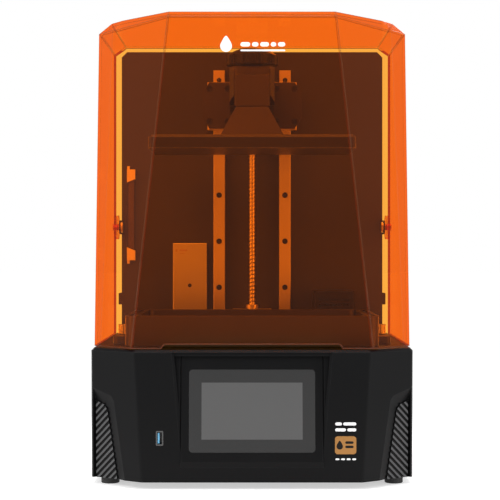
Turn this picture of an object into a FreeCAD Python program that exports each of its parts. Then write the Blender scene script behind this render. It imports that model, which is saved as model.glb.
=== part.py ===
"""Desktop resin printer: base, tower, lift, resin vat, light engine and hinged amber cover.

Frame: millimetres, +Z up, the front faces -Y, the origin is at the centre of the footprint on
the surface that the feet stand on.
"""
import FreeCAD, Part
import math
import os

os.makedirs("parts", exist_ok=True)
V = FreeCAD.Vector

# Driving dimensions
WIDTH = 366.0
DEPTH = 365.0
HEIGHT = 532.9
FOOT_H = 8.0
DECK_Z = 155.5            # top of the base
WALL = 3.0                # moulded walls and cover walls
REACH = 1500.0            # longer than anything in the model

FOOT_X = 162.5
FOOT_Y = (-125.0, 150.0)
VAT_SCREW_X = 154.0
VAT_SCREW_Y = -30.0

HALF_W = WIDTH / 2
REAR_Y = DEPTH / 2
FRONT_Y = -DEPTH / 2 + 2.0    # the screen panel stands 2 mm proud of the front face
FRONT_HALF_TOP = 132.0        # half width of the front face at the deck
FRONT_HALF_BOTTOM = 123.0     # and at the underside
CORNER_Y = -142.5             # where the corner facet meets the side, at the deck
DECK_T = 3.0                  # bevelled rim of the deck
DECK_LIP = 4.0                # part of the deck that drops inside the shell

COLUMN_Y = 130.5              # front face of the tower
COLUMN_T = 6.0
TOWER_HALF = 170.6
TOWER_REAR = 170.5
TOWER_TOP = 525.5
TOWER_CHAMFER = 16.0      # at the top rear edge
TOWER_BEVEL = 7.0         # at the top side edges, clear of the swinging cover

HINGE_Y = 118.0           # cover pivot, beside the tower
HINGE_Z = 296.0
PIN_R = 4.0
RUN = 0.05                    # radial clearance of a running fit
GAP = 0.4                     # between pieces that slide past each other

SCREW_Y = 110.0
SCREW_R = 4.0
RAIL_X = 42.8
RAIL_W = 15.0
RAIL_Z0 = 188.0
RAIL_Z1 = 500.0
RAIL_PITCH = 60.0
RAIL_HOLE_Z = 217.8           # lowest hole
RAIL_HOLES = 5
CARRIAGE_Z = 452.5            # middle of the carriage at rest

MASK_Y = -30.0                # middle of the image area
MASK_W = 223.0
MASK_D = 126.0
PLATE_W = 242.0
PLATE_D = 137.0
PLATE_Z = 385.6


# Helpers
def box(x0, y0, z0, x1, y1, z1):
    """Box between two opposite corners."""
    return Part.makeBox(x1 - x0, y1 - y0, z1 - z0, V(x0, y0, z0))


def slab(cx, cy, width, depth, z0, z1, r):
    """Upright plate centred on (cx, cy) with round corners."""
    solid = box(cx - width / 2, cy - depth / 2, z0, cx + width / 2, cy + depth / 2, z1)
    return round_edges(solid, r, lambda d, c: abs(d.z) > 0.9)


def rod(r, length, x, y, z, axis=V(0, 0, 1)):
    """Cylinder from a base point along an axis."""
    return Part.makeCylinder(r, length, V(x, y, z), axis)


def ring(outer, inner, length, x, y, z, axis=V(0, 0, 1)):
    """Tube from a base point along an axis."""
    return rod(outer, length, x, y, z, axis).cut(rod(inner, length, x, y, z, axis))


def chosen(solid, wanted):
    """Straight edges whose direction and middle pass a test."""
    found = []
    for edge in solid.Edges:
        if not isinstance(edge.Curve, Part.Line):
            continue
        direction = edge.tangentAt(edge.FirstParameter)
        middle = edge.valueAt((edge.FirstParameter + edge.LastParameter) / 2)
        if wanted(direction, middle):
            found.append(edge)
    return found


def round_edges(solid, r, wanted):
    """Fillet the straight edges that pass a test."""
    return solid.makeFillet(r, chosen(solid, wanted))


def bevel_edges(solid, size, wanted):
    """Chamfer the straight edges that pass a test."""
    return solid.makeChamfer(size, chosen(solid, wanted))


def prism(points, direction):
    """Extrude a closed polygon of points."""
    wire = Part.makePolygon([V(*p) for p in points] + [V(*points[0])])
    return Part.Face(wire).extrude(V(*direction))


def profile_x(points, x0, x1):
    """Extrude a (y, z) outline from x0 to x1."""
    return prism([(x0, y, z) for y, z in points], (x1 - x0, 0, 0))


def profile_y(points, y0, y1):
    """Extrude an (x, z) outline from y0 to y1."""
    return prism([(x, y0, z) for x, z in points], (0, y1 - y0, 0))


def profile_z(points, z0, z1):
    """Extrude an (x, y) outline from z0 to z1."""
    return prism([(x, y, z0) for x, y in points], (0, 0, z1 - z0))


def plane_of(a, b, c, inside):
    """Point and outward unit normal of the plane through three points."""
    normal = (b - a).cross(c - a)
    normal.normalize()
    if normal.dot(inside - a) > 0:
        normal = normal.negative()
    return a, normal


def chop(solid, plane, offset=0.0):
    """Cut off what lies outside a plane that is first moved inwards by an offset."""
    point, normal = plane
    block = Part.makeBox(REACH, REACH, REACH, V(-REACH / 2, -REACH / 2, 0))
    turn = FreeCAD.Rotation(V(0, 0, 1), normal)
    block.Placement = FreeCAD.Placement(point - normal * offset, turn)
    return solid.cut(block)


def mirrored(shape):
    """The same shape on the other side."""
    return shape.mirror(V(0, 0, 0), V(1, 0, 0))


def flip(plane):
    """A plane's twin on the other side."""
    point, normal = plane
    return V(-point.x, point.y, point.z), V(-normal.x, normal.y, normal.z)


def hull(points, faces):
    """Closed solid with flat faces, each a list of point numbers."""
    shells = []
    for face in faces:
        corners = [V(*points[i]) for i in face]
        shells.append(Part.Face(Part.makePolygon(corners + [corners[0]])))
    return Part.Solid(Part.Shell(shells))


def fused(shapes):
    """Join touching shapes into one solid with clean faces."""
    return shapes[0].fuse(shapes[1:]).removeSplitter()


def save(name, shape, group=False):
    """Write one named piece, after checking that its solids are closed."""
    solids = shape.Solids
    if len(solids) != 1 and not group:
        raise ValueError(f"{name} has {len(solids)} solids")
    for solid in solids:
        if not solid.isValid() or not solid.isClosed():
            raise ValueError(f"{name} holds a broken solid")
    shape = solids[0] if len(solids) == 1 else Part.makeCompound(solids)
    shape.exportStep(f"parts/{name}.step")
    size = shape.BoundBox
    print(f"{name}: {size.XLength:.1f} x {size.YLength:.1f} x {size.ZLength:.1f} mm,"
          f" {shape.Volume / 1000:.1f} cm3")


# Base: shell, deck, floor and rear panel
FACET_TOP = V(FRONT_HALF_TOP, FRONT_Y, DECK_Z)
FACET_SIDE = V(HALF_W, CORNER_Y, DECK_Z)
FACET_LOW = V(FRONT_HALF_BOTTOM, FRONT_Y, FOOT_H)
FACET = plane_of(FACET_TOP, FACET_SIDE, FACET_LOW, V(0, 0, 80))
RIM_Z = DECK_Z - DECK_T


def on_facet(x, z, depth=0.0):
    """Point of the corner facet at a given x and z, or of a plane parallel to it inside."""
    point, normal = FACET
    start = point - normal * depth
    y = start.y - (normal.x * (x - start.x) + normal.z * (z - start.z)) / normal.y
    return V(x, y, z)


def base_block(inset=0.0):
    """Outer form of the base, or the same form inset for its cavity."""
    edge = HALF_W - inset
    solid = box(-edge, FRONT_Y + inset, FOOT_H, edge, REAR_Y - inset, DECK_Z)
    solid = chop(solid, FACET, inset)
    solid = chop(solid, flip(FACET), inset)
    side = round_edges(solid, 9 - inset, lambda d, c: abs(d.z) > 0.9 and c.y > 0)
    return round_edges(side, 8 - inset, lambda d, c: abs(d.z) > 0.9 and c.y < -100)


def loft(outlines):
    """Flat-sided solid through closed outlines with equal numbers of corners."""
    wires = [Part.makePolygon(points + [points[0]]) for points in outlines]
    return Part.makeLoft(wires, True, True)


SCOOP_MOUTH = [(157.4, 104.9), (154.0, 99.2), (140.9, FOOT_H), (181.5, FOOT_H), (181.5, 113.5)]
SCOOP_FLOOR = [(167.6, 91.7), (163.6, 85.6), (152.0, FOOT_H), (177.6, FOOT_H), (177.6, 95.8)]
SCOOP_DEPTH = 5.0
GRIP_T = 2.0


def scoop(extra=0.0):
    """Pocket in the corner facet that holds the ribbed grip, open at the bottom."""
    spread = [-extra, -extra, -extra, extra, extra]
    mouth = [on_facet(x + dx, z, -1.0) for (x, z), dx in zip(SCOOP_MOUTH, spread)]
    floor = [on_facet(x + dx, z, SCOOP_DEPTH + extra) for (x, z), dx in zip(SCOOP_FLOOR, spread)]
    return loft([mouth, floor])


# Screen panel, which leans back in a recess of the front wall
PANEL_HALF = 80.0
PANEL_TOP_Y = FRONT_Y + 10.0
PANEL_LOW_Y = -DEPTH / 2
PANEL_LOW_Z = 31.0
PANEL_T = 4.0
PANEL_TOP = V(0, PANEL_TOP_Y, RIM_Z)
PANEL_LOW = V(0, PANEL_LOW_Y, PANEL_LOW_Z)
PANEL_UP = (PANEL_TOP - PANEL_LOW).normalize()
PANEL_OUT = V(0, -PANEL_UP.z, PANEL_UP.y)
GLASS_Z = 87.3


def panel_outline(back):
    """Side outline of the panel, with its back wall moved by a distance."""
    return [(PANEL_TOP_Y, RIM_Z), (PANEL_LOW_Y, PANEL_LOW_Z), (FRONT_Y, PANEL_LOW_Z - 6.4),
            (FRONT_Y + back, PANEL_LOW_Z - 6.4), (PANEL_LOW_Y + back, PANEL_LOW_Z),
            (PANEL_TOP_Y + back, RIM_Z)]


def on_panel(shape, z=GLASS_Z, out=0.0):
    """Place a shape drawn flat around the origin on the panel, its +Z pointing outwards."""
    along = (z - PANEL_LOW_Z) / PANEL_UP.z
    centre = PANEL_LOW + PANEL_UP * along + PANEL_OUT * out
    turn = FreeCAD.Rotation(V(1, 0, 0), PANEL_UP, PANEL_OUT, "XZY")
    placed = shape.copy()
    placed.Placement = FreeCAD.Placement(centre, turn)
    return placed


def recess_side():
    """Sliver between the leaning panel and the front face, widest at the top."""
    wide = [(PANEL_HALF, PANEL_TOP_Y, RIM_Z), (PANEL_HALF, FRONT_Y - 1, RIM_Z),
            (PANEL_HALF + 11, FRONT_Y - 1, RIM_Z), (PANEL_HALF, FRONT_Y - 1, PANEL_LOW_Z)]
    return hull(wide, [(0, 1, 2), (0, 1, 3), (1, 2, 3), (0, 2, 3)])


USB_X = -102.9
USB_Z = 57.3
USB_W = 8.2
USB_H = 16.4
BADGE_X = 104.1
BADGE_Z = 49.6
BADGE_W = 23.9
BADGE_H = 20.2


def face_plate(x, z, width, height, y0, y1, r):
    """Plate standing in the front wall with round corners."""
    solid = box(x - width / 2, y0, z - height / 2, x + width / 2, y1, z + height / 2)
    return round_edges(solid, r, lambda d, c: abs(d.y) > 0.9)


def base_shell():
    """Moulded front and side walls with the recess, the scoops and the port openings."""
    outer = base_block()
    cavity = base_block(WALL)
    behind = profile_x(panel_outline(PANEL_T + WALL), -PANEL_HALF - 14, PANEL_HALF + 14)
    cavity = cavity.cut(behind)
    for pocket in (scoop(WALL), mirrored(scoop(WALL))):
        cavity = cavity.cut(pocket)
    shell = outer.cut(cavity)
    shell = shell.common(box(-HALF_W, -DEPTH, FOOT_H, HALF_W, REAR_Y - WALL, RIM_Z))
    shell = shell.cut(profile_x(panel_outline(REACH / 50), -PANEL_HALF, PANEL_HALF))
    wedge = [(FRONT_Y - 5, RIM_Z), (FRONT_Y - 5, PANEL_LOW_Z), (PANEL_LOW_Y, PANEL_LOW_Z),
             (PANEL_TOP_Y, RIM_Z)]
    shell = shell.cut(profile_x(wedge, -PANEL_HALF, PANEL_HALF))
    for tool in (scoop(), recess_side()):
        shell = shell.cut(tool).cut(mirrored(tool))
    port = face_plate(USB_X, USB_Z, USB_W, USB_H, FRONT_Y - 1, FRONT_Y + 20, 1.2)
    pocket = face_plate(BADGE_X, BADGE_Z, BADGE_W, BADGE_H, FRONT_Y - 1, FRONT_Y + 0.8, 3.3)
    return shell.cut(port).cut(pocket)


def corner_grip():
    """Plate in the scoop with slanting raised ribs."""
    top = SCOOP_DEPTH - GRIP_T
    plate = loft([[on_facet(x, z, SCOOP_DEPTH) for x, z in SCOOP_FLOOR],
                  [on_facet(x, z, top + 1.0) for x, z in SCOOP_FLOOR]])
    field = loft([[on_facet(x, z, SCOOP_DEPTH) for x, z in SCOOP_FLOOR],
                  [on_facet(x, z, top) for x, z in SCOOP_FLOOR]])
    pitch = 7.6
    rib = 3.4
    rise = 34.0
    inner_x, outer_x = 150.0, 181.0
    bars = []
    for i in range(-5, 16):
        z = FOOT_H + i * pitch
        line = [(inner_x, z + rise), (outer_x, z), (outer_x, z + rib), (inner_x, z + rise + rib)]
        bar = loft([[on_facet(x, h, SCOOP_DEPTH) for x, h in line],
                    [on_facet(x, h, top) for x, h in line]])
        bar = bar.common(field)
        if bar.Solids:
            bars.append(bar)
    return fused([plate] + bars)


MOTOR_HALF = 21.2
SHAFT_BOX = 25.0


def top_deck():
    """Bevelled deck with the window for the image screen and the drive opening."""
    rim = base_block()
    edge_top = [e for e in rim.Edges if e.BoundBox.ZMin > DECK_Z - 0.01]
    rim = rim.makeChamfer(DECK_T - 0.2, edge_top)
    rim = rim.common(box(-HALF_W, -DEPTH, RIM_Z, HALF_W, DEPTH, DECK_Z))
    lip = base_block(WALL + 0.2).common(box(-HALF_W, -DEPTH, RIM_Z - DECK_LIP, HALF_W, DEPTH, RIM_Z))
    lip = lip.common(box(-HALF_W, -DEPTH, 0, HALF_W, REAR_Y - 8, RIM_Z))
    behind = profile_x(panel_outline(PANEL_T + WALL + 1), -PANEL_HALF - 16, PANEL_HALF + 16)
    deck = fused([rim, lip.cut(behind)])
    window = slab(0, MASK_Y, MASK_W + 6, MASK_D + 6, 0, HEIGHT, 3)
    drive = box(-SHAFT_BOX - 1, COLUMN_Y - 43, 0, SHAFT_BOX + 1, COLUMN_Y + 0.5, HEIGHT)
    seat = slab(0, MASK_Y, MASK_W + 26, MASK_D + 26, DECK_Z - 1.4, HEIGHT, 5)
    deck = deck.cut(window).cut(drive).cut(seat)
    for side in (-1, 1):
        deck = deck.cut(rod(3.0, 40, side * VAT_SCREW_X, VAT_SCREW_Y, DECK_Z - 20))
    return deck


def base_floor():
    """Sheet floor that closes the base from below, with slots under the light engine."""
    edge = base_block(WALL + 0.3).common(box(-HALF_W, -DEPTH, 0, HALF_W, DEPTH, FOOT_H + 2.5))
    for pocket in (scoop(WALL + 0.3), mirrored(scoop(WALL + 0.3))):
        edge = edge.cut(pocket)
    for i in range(-4, 5):
        slot = slab(i * 14, -20, 5, 110, 0, 20, 2.4)
        edge = edge.cut(slot)
    for x in (-FOOT_X, FOOT_X):
        for y in FOOT_Y:
            edge = edge.cut(rod(4, 20, x, y, 0))
    return edge


FAN_X = -105.0
FAN_Z = 80.0
FAN_HALF = 40.0
INLET_X = 118.0
INLET_Z = 48.0
ROCKER_X = 118.0
ROCKER_Z = 88.0


def rear_panel():
    """Flat rear wall with the fan grille, the mains inlet and the switch opening."""
    panel = base_block(0.0).common(box(-HALF_W, REAR_Y - WALL, FOOT_H, HALF_W, DEPTH, RIM_Z))
    for i in range(-5, 6):
        z = FAN_Z + i * 6.4
        half = math.sqrt((FAN_HALF - 3) ** 2 - (i * 6.4) ** 2)
        slot = box(FAN_X - half, 0, z - 1.7, FAN_X + half, DEPTH, z + 1.7)
        slot = slot.cut(box(FAN_X - 1.5, 0, z - 2, FAN_X + 1.5, DEPTH, z + 2))
        panel = panel.cut(slot)
    panel = panel.cut(face_plate(INLET_X, INLET_Z, 27.6, 20.4, 100, DEPTH, 3))
    panel = panel.cut(box(ROCKER_X - 10.8, 0, ROCKER_Z - 7.4, ROCKER_X + 10.8, DEPTH, ROCKER_Z + 7.4))
    return panel


def rubber_feet():
    """Four stepped rubber feet."""
    feet = []
    for x in (-FOOT_X, FOOT_X):
        for y in FOOT_Y:
            foot = rod(10.5, FOOT_H, x, y, 0).fuse(rod(4, 4.5, x, y, FOOT_H))
            foot = foot.removeSplitter()
            rim = [e for e in foot.Edges if e.BoundBox.ZMax < 0.01]
            feet.append(foot.makeFillet(1.5, rim))
    return Part.makeCompound(feet)


# Front panel pieces
GLASS_W = 140.8
GLASS_H = 92.2
GLASS_T = 1.4
DISPLAY_W = 112.6
DISPLAY_H = 63.3


def flat_plate(width, height, thick, r):
    """Plate lying on the XY plane with round corners."""
    return slab(0, 0, width, height, 0, thick, r)


def screen_panel():
    """Leaning console plate with a pocket for the glass and a window for the display."""
    panel = profile_x(panel_outline(PANEL_T), -PANEL_HALF, PANEL_HALF)

    def upright_end(direction, centre):
        upright = abs(direction.dot(PANEL_UP)) > 0.99
        return upright and centre.y < FRONT_Y + 6 and abs(centre.x) > PANEL_HALF - 10

    front = [e for e in chosen(panel, upright_end) if on_front(e)]
    panel = panel.makeChamfer(1.2, front)
    panel = panel.cut(on_panel(flat_plate(GLASS_W + 0.4, GLASS_H + 0.4, 9, 4.4), out=-1.0))
    return panel.cut(on_panel(flat_plate(DISPLAY_W + 6, DISPLAY_H + 6, 30, 1.5), out=-15))


def on_front(edge):
    """True for an edge that lies in the panel's front plane."""
    start = edge.valueAt(edge.FirstParameter)
    return abs((start - PANEL_LOW).dot(PANEL_OUT)) < 0.01


def touch_glass():
    """Cover glass of the touch screen."""
    return on_panel(flat_plate(GLASS_W, GLASS_H, GLASS_T, 4.2), out=-1.0)


def touch_display():
    """Display module behind the glass, with its connector block."""
    module = flat_plate(DISPLAY_W + 5, DISPLAY_H + 5, 3.0, 1.0)
    back = box(-20, -12, -6, 20, 12, 0)
    return on_panel(fused([module, back]), out=-4.0)


def usb_shell():
    """Metal shell of the upright USB port with a flange on the front face."""
    flange = face_plate(USB_X, USB_Z, USB_W, USB_H, FRONT_Y - 0.6, FRONT_Y + 12, 1.2)
    mouth = face_plate(USB_X, USB_Z, USB_W - 2.6, USB_H - 3.0, FRONT_Y - 2, FRONT_Y + 10.5, 0.4)
    return flange.cut(mouth)


def usb_tongue():
    """Contact tongue inside the port."""
    x = USB_X - 1.1
    return box(x - 1.0, FRONT_Y + 0.6, USB_Z - 5.8, x + 1.0, FRONT_Y + 10.5, USB_Z + 5.8)


def badge_plate():
    """Small metal plate in its pocket to the right of the screen."""
    return face_plate(BADGE_X, BADGE_Z, BADGE_W - 0.2, BADGE_H - 0.2, FRONT_Y - 0.4, FRONT_Y + 0.8, 3.2)


# Rear panel pieces and electronics
def power_inlet():
    """Mains inlet with three blades in its well."""
    flange = face_plate(INLET_X, INLET_Z, 31, 24, REAR_Y - WALL - 1.2, REAR_Y - WALL, 4)
    well = face_plate(INLET_X, INLET_Z, 27.2, 20, REAR_Y - 24, REAR_Y - 0.4, 3)
    socket = face_plate(INLET_X, INLET_Z, 23.5, 16.5, REAR_Y - 20, REAR_Y + 5, 3.5)
    body = fused([flange, well]).cut(socket)
    blades = []
    for x, z in ((-7, -1.5), (0, 2.5), (7, -1.5)):
        low = INLET_Z + z - 2
        blades.append(box(INLET_X + x - 1, REAR_Y - 21, low, INLET_X + x + 1, REAR_Y - 4, low + 4))
    return fused([body] + blades)


def power_frame():
    """Frame of the mains switch, clipped into the rear panel."""
    outer = face_plate(ROCKER_X, ROCKER_Z, 21.4, 14.6, REAR_Y - 16, REAR_Y - 0.2, 1)
    return outer.cut(box(ROCKER_X - 9.2, REAR_Y - 12, ROCKER_Z - 5.8, ROCKER_X + 9.2, REAR_Y + 1,
                         ROCKER_Z + 5.8))


def power_rocker():
    """Rocker that tips about an upright axis in its frame."""
    outline = [(-7.8, 1.2), (0, -1.4), (7.8, -0.3), (6.0, -7.0), (-6.0, -7.0)]
    points = [(ROCKER_X + x, REAR_Y + y - 1.4) for x, y in outline]
    return profile_z(points, ROCKER_Z - 5.3, ROCKER_Z + 5.3)


def fan_frame(x, y, z, half, depth, bore):
    """Square fan frame blowing along Y, with its hub and four struts."""
    frame = box(x - half, y, z - half, x + half, y + depth, z + half)
    frame = round_edges(frame, 4, lambda d, c: abs(d.y) > 0.9)
    frame = frame.cut(rod(bore, depth, x, y, z, V(0, 1, 0)))
    struts = [rod(bore * 0.36, 3, x, y, z, V(0, 1, 0))]
    for i in range(4):
        bar = box(x - 1.5, y, z, x + 1.5, y + 3, z + bore + 0.5)
        bar.rotate(V(x, y, z), V(0, 1, 0), 90 * i + 20)
        struts.append(bar)
    frame = frame.fuse(struts).removeSplitter()
    return frame.cut(rod(1.5 + RUN, 3, x, y, z, V(0, 1, 0)))


def fan_rotor(x, y, z, depth, bore, blades=7):
    """Hub with pitched blades and its shaft."""
    hub = rod(bore * 0.36, depth - 5, x, y + 4, z, V(0, 1, 0))
    shaft = rod(1.5, 5, x, y + 0.4, z, V(0, 1, 0))
    parts = [hub, shaft]
    for i in range(blades):
        blade = box(-1.0, -(depth - 6) / 2, 0, 1.0, (depth - 6) / 2, bore - 1.5)
        blade.rotate(V(0, 0, 0), V(0, 0, 1), 38)
        blade = blade.common(box(-30, -(depth - 7) / 2, 0, 30, (depth - 7) / 2, bore))
        blade.translate(V(x, y + 4 + (depth - 5) / 2, z))
        blade.rotate(V(x, y, z), V(0, 1, 0), 360 * i / blades)
        parts.append(blade)
    return fused(parts)


def mainboard():
    """Control board on four posts on the left, with its heat sink and connectors."""
    x = -158.0
    board = box(x, -70, 24, x + 1.6, 70, 124)
    parts = [board, box(x + 1.6, -20, 60, x + 13, 14, 94), box(x + 1.6, 30, 34, x + 9, 62, 46)]
    for i in range(4):
        parts.append(box(x + 1.6, -62 + i * 13, 106, x + 10, -53 + i * 13, 118))
    for y in (-64, 64):
        for z in (30, 118):
            parts.append(rod(3, 22, x - 22, y, z, V(1, 0, 0)))
    return fused(parts)


def power_supply():
    """Boxed supply on the floor at the right, with a row of side slots."""
    case = box(126, -80, FOOT_H + 2.5, 166, 90, 108)
    for i in range(9):
        case = case.cut(box(120, -70 + i * 16, 30, 127.5, -64 + i * 16, 95))
    return case


# Light engine under the image screen
HOUSING_Z0 = 62.0
LIGHT_FAN_Y = MASK_Y + 76
LIGHT_FAN_Z = 40.0
LIGHT_FAN_HALF = 25.0


def led_heatsink():
    """Finned aluminium plate that carries the LED board."""
    base = box(-80, MASK_Y - 60, 46, 80, MASK_Y + 60, 52)
    fins = []
    for i in range(17):
        x = -76 + i * 9.5
        fins.append(box(x - 1, MASK_Y - 60, 16, x + 1, MASK_Y + 60, 46))
    return fused([base] + fins)


def grid_domes(columns, rows, pitch, z, r, height):
    """Flat-bottomed domes on a rectangular grid."""
    domes = []
    for i in range(columns):
        for j in range(rows):
            x = (i - (columns - 1) / 2) * pitch
            y = MASK_Y + (j - (rows - 1) / 2) * pitch
            domes.append(Part.makeCone(r, r * 0.55, height, V(x, y, z)))
    return domes


def led_board():
    """Board with a grid of ultraviolet LEDs."""
    board = box(-78, MASK_Y - 56, 52, 78, MASK_Y + 56, 53.6)
    return fused([board] + grid_domes(8, 6, 18.6, 53.6, 2.4, 1.4))


def lens_array():
    """Plate with one collimating lens over each LED."""
    plate = box(-78, MASK_Y - 56, 60, 78, MASK_Y + 56, 62)
    legs = [rod(3, 6.4, x, y, 53.6) for x in (-74, 74) for y in (MASK_Y - 52, MASK_Y + 52)]
    return fused([plate] + legs + grid_domes(8, 6, 18.6, 62, 8.4, 5))


def rectangle(width, depth, z):
    """Corners of a level rectangle around the image centre."""
    pairs = [(-width / 2, -depth / 2), (width / 2, -depth / 2), (width / 2, depth / 2),
             (-width / 2, depth / 2)]
    return [V(x, MASK_Y + y, z) for x, y in pairs]


def light_housing():
    """Tapered duct that keeps stray light between the lenses and the screen."""
    top = RIM_Z - DECK_LIP - 0.3
    outer = loft([rectangle(168, 124, 52), rectangle(MASK_W + 12, MASK_D + 12, top)])
    inner = loft([rectangle(163, 119, 51.9), rectangle(MASK_W + 7, MASK_D + 7, top + 0.1)])
    return outer.cut(inner).cut(box(-80.5, MASK_Y - 60.5, 50, 80.5, MASK_Y + 60.5, 54))


def mask_screen():
    """Monochrome image screen in the deck."""
    return slab(0, MASK_Y, MASK_W + 22, MASK_D + 22, DECK_Z - 1.4, DECK_Z - 0.3, 4)


def mask_frame():
    """Black border tape that seals the screen to the deck."""
    outer = slab(0, MASK_Y, MASK_W + 25.6, MASK_D + 25.6, DECK_Z - 0.3, DECK_Z, 5)
    return outer.cut(slab(0, MASK_Y, MASK_W + 4, MASK_D + 4, 0, HEIGHT, 2))


# Tower and vertical drive
def column_plate():
    """Front plate of the tower."""
    plate = box(-TOWER_HALF, COLUMN_Y, DECK_Z, TOWER_HALF, COLUMN_Y + COLUMN_T, TOWER_TOP)
    plate = bevel_edges(plate, TOWER_BEVEL, lambda d, c: abs(d.y) > 0.9 and c.z > 400)
    for x, z, r in tower_holes():
        plate = plate.cut(rod(r, 40, x, COLUMN_Y - 20, z, V(0, 1, 0)))
    return plate


def tower_holes():
    """Cable and exhaust holes through the tower plate."""
    return [(105.5, 184.0, 17.0), (-81.0, 230.0, 6.0), (-158.3, 312.0, 3.0)]


def tower_cover():
    """Rear shell of the tower with vents and a sloping top edge."""
    front = COLUMN_Y + COLUMN_T
    outline = [(front, DECK_Z), (TOWER_REAR, DECK_Z), (TOWER_REAR, TOWER_TOP - TOWER_CHAMFER),
               (TOWER_REAR - TOWER_CHAMFER, TOWER_TOP), (front, TOWER_TOP)]
    outer = profile_x(outline, -TOWER_HALF, TOWER_HALF)
    slope = V(1, 0, 1)
    slope.normalize()
    shoulder = (V(TOWER_HALF - TOWER_BEVEL, 0, TOWER_TOP), slope)
    outer = chop(chop(outer, shoulder), flip(shoulder))
    outer = round_edges(outer, 8, lambda d, c: abs(d.z) > 0.9 and c.y > 160)
    inset = 2.5
    inner = [(front, DECK_Z + inset), (TOWER_REAR - inset, DECK_Z + inset),
             (TOWER_REAR - inset, TOWER_TOP - TOWER_CHAMFER - 1), (TOWER_REAR - TOWER_CHAMFER - 1,
             TOWER_TOP - inset), (front, TOWER_TOP - inset)]
    hollow = profile_x(inner, -TOWER_HALF + inset, TOWER_HALF - inset)
    hollow = chop(chop(hollow, shoulder, inset), flip(shoulder), inset)
    shell = outer.cut(hollow)
    for side in (-1, 1):
        for i in range(12):
            z = 200 + i * 9
            x = side * 105.5
            slot = box(x - 26, TOWER_REAR - 8, z, x + 26, TOWER_REAR + 1, z + 3.4)
            shell = shell.cut(slot)
    return shell


def linear_rail(side):
    """Profiled rail with stepped mounting holes."""
    x = side * RAIL_X
    half = RAIL_W / 2
    back = COLUMN_Y
    front = COLUMN_Y - RAIL_W
    outline = [(-half, back), (-half, back - 5.5), (-half + 1.7, back - 7.5), (-half, back - 10.2),
               (-half, front + 0.8), (-half + 0.8, front), (half - 0.8, front), (half, front + 0.8),
               (half, back - 10.2), (half - 1.7, back - 7.5), (half, back - 5.5), (half, back)]
    rail = profile_z([(x + a, b) for a, b in outline], RAIL_Z0, RAIL_Z1)
    for i in range(RAIL_HOLES):
        z = RAIL_HOLE_Z + i * RAIL_PITCH
        rail = rail.cut(rod(3.75, 5.5, x, front, z, V(0, 1, 0)))
        rail = rail.cut(rod(2.25, RAIL_W, x, front, z, V(0, 1, 0)))
    return rail


def socket_screw(x, y, z, head, length):
    """Socket screw pointing into the tower, its head face at y."""
    screw = rod(head, head, x, y, z, V(0, 1, 0)).fuse(rod(head * 0.58, length, x, y + head, z, V(0, 1, 0)))
    angles = [math.radians(60 * k) for k in range(6)]
    hexagon = [(x + head / 2 * math.cos(t), z + head / 2 * math.sin(t)) for t in angles]
    return screw.removeSplitter().cut(profile_y(hexagon, y, y + head * 0.6))


def tower_screws():
    """Socket screws that hold both rails, sunk in their holes, and the one in the heater."""
    screws = []
    for side in (-1, 1):
        for i in range(RAIL_HOLES):
            z = RAIL_HOLE_Z + i * RAIL_PITCH
            screws.append(socket_screw(side * RAIL_X, COLUMN_Y - RAIL_W + 2.0, z, 3.4, 9.5))
    screws.append(socket_screw(sum(HEATER_X) / 2, HEATER_Y + 0.4, 220.3, 2.5, 2))
    return Part.makeCompound(screws)


BLOCK_TOP = 190.0
BLOCK_LOW = 138.0
MOTOR_TOP = 138.0


def lower_bearing_block():
    """Screw bearing and motor bracket, open around the coupling."""
    block = box(-SHAFT_BOX, COLUMN_Y - 42, BLOCK_LOW, SHAFT_BOX, COLUMN_Y, BLOCK_TOP)
    block = bevel_edges(block, 3, lambda d, c: abs(d.z) > 0.9 and c.y < 100)
    block = block.cut(rod(14.5, 24, 0, SCREW_Y, BLOCK_LOW + 3))
    block = block.cut(box(-14.5, 0, BLOCK_LOW + 3, 14.5, SCREW_Y, BLOCK_LOW + 17))
    return block.cut(rod(SCREW_R + RUN, 100, 0, SCREW_Y, BLOCK_LOW))


def upper_bearing_block():
    """Bearing that holds the top end of the screw."""
    block = box(-20, SCREW_Y - 13, 500, 20, COLUMN_Y, 518)
    block = round_edges(block, 4, lambda d, c: abs(d.z) > 0.9 and c.y < 100)
    for side in (-1, 1):
        block = block.cut(rod(2.5, 60, side * 14, 80, 509, V(0, 1, 0)))
    return block.cut(rod(SCREW_R + RUN, 30, 0, SCREW_Y, 490))


def z_motor():
    """Square stepper motor under the bracket."""
    body = slab(0, SCREW_Y, 2 * MOTOR_HALF, 2 * MOTOR_HALF, MOTOR_TOP - 48, MOTOR_TOP, 4)
    body = body.cut(ring(40, 28.5, 26, 0, SCREW_Y, MOTOR_TOP - 37))
    return body.cut(rod(2.5 + RUN, 30, 0, SCREW_Y, MOTOR_TOP - 20))


def shaft_coupling():
    """Slotted coupling between the motor shaft and the screw, with the motor shaft in it."""
    body = ring(10, SCREW_R, 8, 0, SCREW_Y, 151).fuse(ring(10, 2.5, 9, 0, SCREW_Y, 142))
    body = body.removeSplitter()
    for i in range(3):
        turn = box(-1, -11, 0, 14, 11, 1.2)
        turn.rotate(V(0, 0, 0), V(0, 0, 1), 120 * i)
        turn.translate(V(0, SCREW_Y, 144 + i * 4.6))
        body = body.cut(turn.cut(rod(6.5, 400, 0, SCREW_Y, 0)))
    return fused([body, rod(2.5, 30, 0, SCREW_Y, 121)])


def ball_screw():
    """Lift screw with turned ends."""
    low = 151.0
    shaft = rod(SCREW_R, 516 - low, 0, SCREW_Y, low)
    collar = [ring(8, SCREW_R, 6, 0, SCREW_Y, 493.4), ring(8, SCREW_R, 5, 0, SCREW_Y, BLOCK_TOP + 0.6)]
    return fused([shaft] + collar)


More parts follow.
